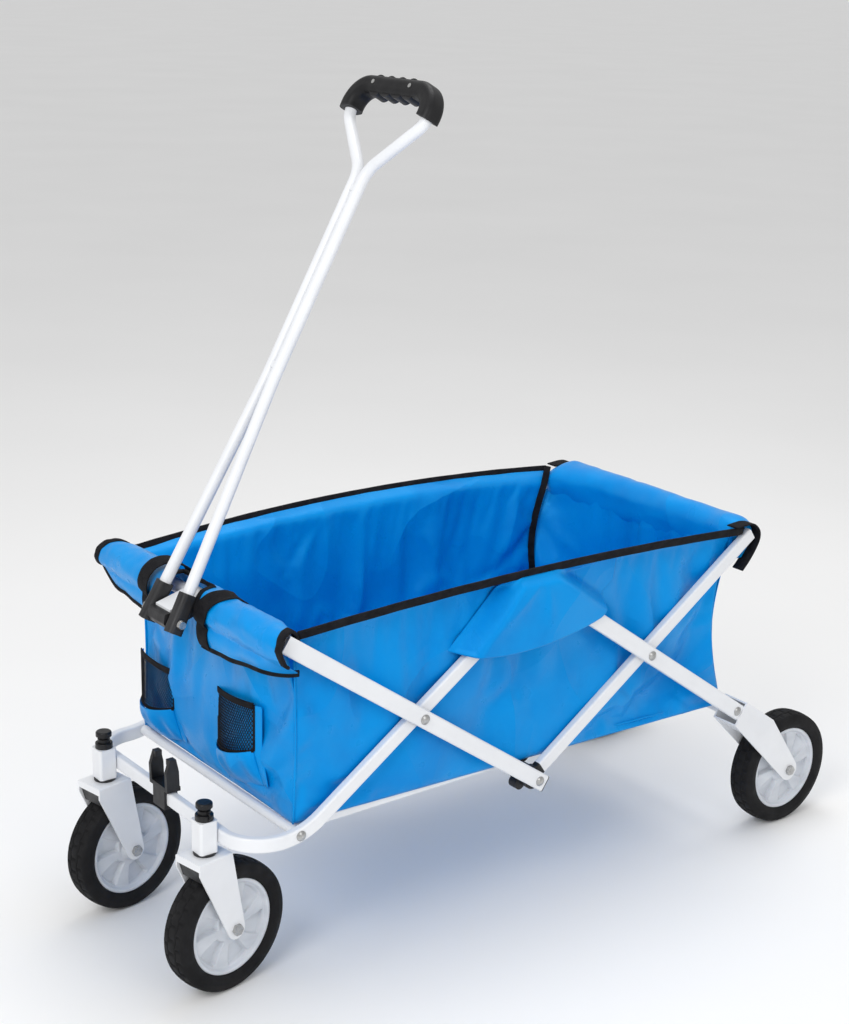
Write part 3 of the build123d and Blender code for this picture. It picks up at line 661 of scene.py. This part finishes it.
# ------------------------------------------------------------------ rear sleeve and side gussets
def rear_sleeve():
    """Puffy sleeve round the rear top tube, closed under it, with rounded ends."""
    rows, columns, half = 44, 32, WALL_Y + 0.0058
    points = []
    for r in range(rows):
        across = mix(-1, 1, r / (rows - 1))
        y = half * across
        end = math.sqrt(max(0.0, 1 - max(0.0, abs(across) - 0.95) ** 2 / 0.05 ** 2 * 0.35))
        for c in range(columns):
            angle = 2 * math.pi * c / columns
            puff = 1 + 0.08 * noise.noise(Vector((y * 20, angle, 15)))
            puff += 0.04 * noise.noise(Vector((y * 60, angle, 19)))
            low = max(0.0, -math.sin(angle))
            out = math.copysign(abs(math.cos(angle)) ** (0.4 if low else 1.0), math.cos(angle))
            reach = SLEEVE_R + 0.0005
            if out > 0:
                reach = max(reach, rear_x(0.9, across) - REAR_SLEEVE_AT.x + 0.0025)
            up = (SLEEVE_R + 0.0015) * puff * end * math.sin(angle)
            points.append(REAR_SLEEVE_AT + Vector((reach * puff * end * out, y, up - 0.014 * low)))
    faces = []
    for r in range(rows - 1):
        for c in range(columns):
            a, b = r * columns + c, r * columns + (c + 1) % columns
            faces.append((a, b, b + columns, a + columns))
    faces.append(tuple(range(columns)))
    faces.append(tuple(reversed(range((rows - 1) * columns, rows * columns))))
    piece = add_mesh("rear_sleeve", points, faces, FABRIC)
    piece.modifiers.new("smooth", "SUBSURF").levels = 1
    on_tub(apply_modifiers(piece))


GUSSET_CORNER = 0.74              # share of a gusset's width where its hem turns up to the rear


def side_gussets():
    """Tents of fabric over the high pivots, from under the rim out and down to a curved hem."""
    for side, name in ((1, "left"), (-1, "right")):

        def place(u, v, side=side):
            top = rim(mix(MID_X + 0.056, MID_X - 0.150, u), 1) - Vector((0, 0, 0.004))
            along_hem = min(u / GUSSET_CORNER, 1.0)
            past = max(0.0, u - GUSSET_CORNER) / 0.26
            hem_x = mix(MID_X + 0.150, MID_X - 0.097, along_hem) - 0.048 * past
            sag = 0.017 * math.sin(math.pi * along_hem) ** 0.8
            hem_z = mix(0.4235, 0.4330, along_hem) - sag + 0.037 * past
            at = Vector((mix(top.x, hem_x, v), 0, mix(top.z, hem_z, v)))
            out = smoothstep(u / 0.10)
            if at.x < MID_X:
                bar_top = HIGH_PIVOT.z + 0.0146 - 0.695 * (MID_X - at.x)
                out *= 1 - smoothstep((at.z - bar_top - 0.004) / 0.032)
            apex = Vector((at.x - MID_X - 0.006, at.z - 0.512))
            fold = ridge(3.1 * math.atan2(apex.x, -apex.y) + 0.35) * min(1.0, apex.length / 0.05)
            outer = BAR_OUT + 0.0066 + 0.0030 * fold * math.sin(math.pi * min(1.0, v + 0.15))
            inner = mix(top.y, WALL_Y + 0.0045, smoothstep(v / 0.16))
            at.y = mix(inner, mix(top.y + 0.001, outer, smoothstep(v / 0.14)), out)
            if side < 0:
                at.z += 0.009 * smoothstep(1 - abs(u - 0.15) / 0.12) * (1 - smoothstep(v / 0.2))
            return Vector((at.x, side * at.y, at.z))

        on_tub(sheet(f"pivot_gusset_{name}", place, 26, 64))


# ------------------------------------------------------------------ pockets
def net(name, place, across, down, wire):
    """Real netting: a lattice of fine threads over a curved patch."""
    points, edges = [], []
    for r in range(down + 1):
        for c in range(across + 1):
            shift = 0.5 / across if r % 2 else 0.0
            points.append(place(min(1.0, c / across + shift), r / down))
    for r in range(down):
        for c in range(across + 1):
            a = r * (across + 1) + c
            other = c + 1 if r % 2 else c - 1
            edges.append((a, a + across + 1))
            if 0 <= other <= across:
                edges.append((a, (r + 1) * (across + 1) + other))
    mesh = bpy.data.meshes.new(name)
    mesh.from_pydata([tuple(p) for p in points], edges, [])
    piece = bpy.data.objects.new(name, mesh)
    bpy.context.scene.collection.objects.link(piece)
    skin = piece.modifiers.new("threads", "SKIN")
    skin.use_smooth_shade = True
    for v in mesh.skin_vertices[0].data:
        v.radius = (wire, wire)
    apply_modifiers(piece)
    piece.data.materials.append(WEBBING)
    return piece


def pocket(name, y_left, y_right, top, low_left, low_right, drop):
    """A net pocket on the front panel: taped mouth and sides, net, and a full fabric bottom."""
    face = FRONT_SEAM + 0.0075

    def net_place(u, v):
        belly = 0.014 * math.sin(math.pi * u) ** 0.7 * (0.45 + 0.55 * v)
        z = mix(mix(top[0], top[1], u), mix(low_left, low_right, u) - 0.004 * math.sin(math.pi * u), v)
        return Vector((face + 0.004 + belly, mix(y_left, y_right, u), z))

    def bottom_place(u, v):
        start = net_place(u, 1.0)
        end_z = mix(low_left, low_right, u) - drop * (0.86 + 0.14 * math.sin(math.pi * u))
        pleats = 0.0022 * math.sin(19 * u + 3) * math.sin(math.pi * v)
        belly = 0.007 * math.sin(math.pi * min(1.0, 0.35 + 0.65 * v)) * math.sin(math.pi * u) ** 0.6
        x = mix(start.x, face - 0.002, v ** 1.6) + belly + pleats
        return Vector((x, start.y + 0.016 * v * (u - 0.1), mix(start.z, end_z, v)))

    on_tub(net(f"{name}_net", net_place, 22, 20, 0.00036))
    on_tub(sheet(f"{name}_bottom", bottom_place, 20, 30))
    tape = rounded_section(0.009, 0.0022)
    steps = np.linspace(0, 1, 20)
    mouth = [net_place(u, 0.02) + Vector((0.0008, 0, 0)) for u in steps]
    on_tub(sweep(f"{name}_mouth", mouth, tape, lambda i, t: (1, 0, 0), WEBBING))
    thin = rounded_section(0.0045, 0.002)
    for side, u in (("left", 0.0), ("right", 1.0)):
        edge = [net_place(u, v) for v in steps]
        on_tub(sweep(f"{name}_edge_{side}", edge, thin, lambda i, t: (1, 0, 0), WEBBING))
    hem = [net_place(u, 1.0) + Vector((0.0008, 0, 0)) for u in steps]
    on_tub(sweep(f"{name}_hem", hem, thin, lambda i, t: (1, 0, 0), WEBBING))

    for side, u, spread in (("left", 0.0, -0.004), ("right", 1.0, 0.012)):

        def return_place(across, v, u=u, spread=spread):
            start = net_place(u, v / 0.6) if v < 0.6 else bottom_place(u, (v - 0.6) / 0.4)
            return start.lerp(Vector((face - 0.001, start.y + spread, start.z)), across)

        on_tub(sheet(f"{name}_side_{side}", return_place, 30, 5))


# ------------------------------------------------------------------ floor of the tub
def tub_floor():
    """Two stiffened floor panels, each on its own half of the folding floor frame."""
    for name, box, body in (("front", FLOOR_FRONT, "floor_front"), ("rear", FLOOR_REAR, "floor_rear")):
        far_x = box[1].x - 0.010 if name == "front" else box[0].x + 0.012
        far_z = box[0].z + 0.0165              # just over the frame's cross tube
        near_z = FLOOR_FRONT[1].z + 0.0035     # over the hinge in the middle

        def place(u, v, far_x=far_x, far_z=far_z):
            x = mix(MID_X, far_x, u)
            y = mix(-1, 1, v) * (WALL_Y - 0.004)
            quilt = 0.0010 * noise.noise(Vector((x * 12, y * 12, 4)))
            quilt += 0.0006 * noise.noise(Vector((x * 40, y * 40, 6)))
            return Vector((x, y, mix(near_z, far_z, u) + quilt))

        piece = sheet(f"floor_panel_{name}", place, 40, 40, thickness=0.0028)
        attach(piece, body)


# ------------------------------------------------------------------ wheels
TREAD_BLOCKS = 30                 # blocks round each of the tread's three rows
TREAD_ROW = 0.34                  # half width of the middle row, as a share of the tyre's half width
TREAD_EDGE = 0.76                 # where the tread ends, as a share of the tyre's half width
RIM_POCKETS = 6
DISC_FROM, DISC_TO = 0.0185, 0.0590     # radii between which the rim's disc lies


def tread_height(turn, across):
    """0 on a block, 1 in a groove: three rows of staggered blocks with zigzag gaps."""
    zigzag = 0.10 * (2 * abs((turn * TREAD_BLOCKS) % 1.0 - 0.5) - 0.5)
    ring = min(abs(abs(across + zigzag) - TREAD_ROW) / 0.055, 1.0)
    middle_row = abs(across + zigzag) < TREAD_ROW
    cell = (turn * TREAD_BLOCKS + (0.0 if middle_row else 0.5) + 0.25 * across) % 1.0
    gap = min(abs(cell - 0.5) * 2 / 0.20, 1.0)
    return 1 - min(ring, gap)


def tyre_mesh():
    """A tyre with blocked tread and smooth side walls, revolved about the y axis."""
    low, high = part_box("tyre_rear_left")
    radius, half = (high.z - low.z) / 2, (high.y - low.y) / 2
    bead = radius * 0.735
    steps, tread = 240, 33
    wall = [(bead, -0.80), (bead + 0.0015, -0.87), (bead + 0.006, -0.955), (bead + 0.012, -1.0),
            (radius - 0.011, -0.985), (radius - 0.0055, -0.93), (radius - 0.0022, -0.83)]
    points = []
    for i in range(steps):
        turn = i / steps
        a = 2 * math.pi * turn
        ring = [(r, w * half) for r, w in wall]
        for k in range(tread):
            w = mix(-TREAD_EDGE, TREAD_EDGE, k / (tread - 1))
            crown = radius - 0.0016 * (w / TREAD_EDGE) ** 2
            ring.append((crown - 0.0030 * smoothstep(tread_height(turn, w)), w * half))
        ring += [(r, -w * half) for r, w in reversed(wall)]
        points += [Vector((r * math.cos(a), y, r * math.sin(a))) for r, y in ring]
    n = 2 * len(wall) + tread
    faces = []
    for i in range(steps):
        j = (i + 1) % steps
        for k in range(n):
            m = (k + 1) % n
            faces.append((i * n + k, j * n + k, j * n + m, i * n + m))
    return points, faces


def rim_depth(radius, turn):
    """How deep a point of the rim's disc lies: pinwheel pockets with sloping floors."""
    swirl = turn + 0.12 * (radius - 0.040) / 0.040 / RIM_POCKETS
    cell = (swirl * RIM_POCKETS) % 1.0
    inner, outer = 0.0215 + 0.006 * cell, 0.0575
    radial = smoothstep((radius - inner) / 0.0025) * smoothstep((outer - radius) / 0.0025)
    wall = smoothstep(cell / 0.05) * smoothstep((0.60 - cell) / 0.03)
    return radial * wall * (0.0085 - 0.0095 * cell)


def rim_mesh():
    """A wheel rim: hub, dished disc with pockets on both faces, and a stepped outer ring."""
    low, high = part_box("rim_rear_left")
    radius, half = (high.z - low.z) / 2, (high.y - low.y) / 2
    bore = 0.0046
    profile = [(bore, half), (0.0125, half), (0.0140, half - 0.0012), (0.0168, 0.0140), (DISC_FROM, 0.0134)]
    profile += [(r, mix(0.0134, 0.0106, (r - DISC_FROM) / 0.0385)) for r in np.linspace(0.0200, 0.0585, 34)]
    profile += [(0.0595, 0.0112), (0.0606, 0.0146), (0.0616, 0.0155)]
    profile += [(radius - 0.0008, 0.0155), (radius, 0.0147)]
    steps, n = 240, len(profile)
    points = []
    for i in range(steps):
        a = 2 * math.pi * i / steps
        for face in (1, -1):
            for r, y in profile:
                sunk = rim_depth(r, (i / steps) * face % 1.0) if DISC_FROM < r < DISC_TO else 0.0
                points.append(Vector((r * math.cos(a), face * (y - sunk), r * math.sin(a))))
    faces = []
    for i in range(steps):
        p, q = i * 2 * n, ((i + 1) % steps) * 2 * n
        for k in range(n - 1):
            faces.append((p + k, p + k + 1, q + k + 1, q + k))
            faces.append((p + n + k, q + n + k, q + n + k + 1, p + n + k + 1))
        faces.append((p, q, q + n, p + n))
        faces.append((p + n - 1, p + 2 * n - 1, q + 2 * n - 1, q + n - 1))
    return points, faces


def on_wheels(kind, name, mesh, slot):
    """Put a revolved mesh on every wheel's axle, in place of the wheel's CAD node of that kind."""
    points, faces = mesh
    for place in ("front", "rear"):
        for side in ("left", "right"):
            joint = next(j for j in frame["joints"] if j["name"] == f"wheel_{place}_spin_{side}")
            turn = Vector((0, 1, 0)).rotation_difference(Vector(joint["axis"]).normalized()).to_matrix()
            hub = middle(f"rim_{place}_{side}")
            placed = [turn @ p + hub for p in points]
            piece = add_mesh(f"{name}_{place}_{side}", placed, faces, MATERIALS[slot])
            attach(piece, f"wheel_{place}_{side}")
            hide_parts(f"{kind}_{place}_{side}")


# ------------------------------------------------------------------ stage
def studio():
    """Pale floor, soft lights and a bright even surround."""
    reach = 300.0
    corners = [(-reach, -reach, 0), (reach, -reach, 0), (reach, reach, 0), (-reach, reach, 0)]
    add_mesh("floor", corners, [(0, 1, 2, 3)], pale_floor(), smooth=False)
    world = bpy.data.worlds.new("studio")
    bpy.context.scene.world = world
    world.use_nodes = True
    world.node_tree.nodes["Background"].inputs["Color"].default_value = (1.0, 1.0, 1.0, 1)
    world.node_tree.nodes["Background"].inputs["Strength"].default_value = 0.72
    for name, at, size, power in (("key", (2.7, 1.3, 2.4), 1.5, 44), ("fill", (0.2, 3.0, 1.5), 1.6, 13),
                                  ("top", (-0.6, -0.3, 3.0), 1.6, 26)):
        light = bpy.data.lights.new(name, "AREA")
        light.size, light.energy = size, power
        lamp = bpy.data.objects.new(name, light)
        lamp.location = at
        lamp.rotation_euler = (Vector((0, 0, 0.35)) - Vector(at)).to_track_quat("-Z", "Y").to_euler()
        bpy.context.scene.collection.objects.link(lamp)
    bpy.context.scene.view_settings.view_transform = "Standard"


def pale_floor():
    """Matt floor, nearly white."""
    f = Finish("pale_floor", 0.85)
    f.colour(f.ramp(f.noise(1.2, 2), (0.3, (0.86, 0.86, 0.86)), (0.7, (0.88, 0.88, 0.88))))
    return f.material


def camera():
    """The viewing angle: three quarters from the front left, a little above."""
    eye = Vector((1.6027, 1.984, 1.307))
    yaw, pitch, roll = math.radians(-127.61), math.radians(-16.86), math.radians(1.36)
    ahead = Vector((math.cos(yaw) * math.cos(pitch), math.sin(yaw) * math.cos(pitch), math.sin(pitch)))
    level = ahead.cross(Vector((0, 0, 1))).normalized()
    upright = level.cross(ahead)
    right = level * math.cos(roll) + upright * math.sin(roll)
    up = upright * math.cos(roll) - level * math.sin(roll)
    data = bpy.data.cameras.new("camera")
    data.lens, data.sensor_width = 65.15, 36.0
    made = bpy.data.objects.new("camera", data)
    made.matrix_world = Matrix.Translation(eye) @ Matrix((right, up, -ahead)).transposed().to_4x4()
    bpy.context.scene.collection.objects.link(made)
    bpy.context.scene.camera = made


camera()
studio()
finish_cad_nodes()
tub_walls()
tub_bindings()
tub_floor()
front_sleeve()
sleeve_straps()
rear_sleeve()
rear_loops()
side_gussets()
pocket("pocket_left", 0.0285, 0.1157, (0.3734, 0.3783), 0.2988, 0.3150, 0.052)
pocket("pocket_right", -0.1780, -0.0900, (0.3600, 0.3560), 0.2900, 0.3010, 0.050)
on_wheels("tyre", "tread", tyre_mesh(), "tyres")
on_wheels("rim", "spoked_rim", rim_mesh(), "rims")
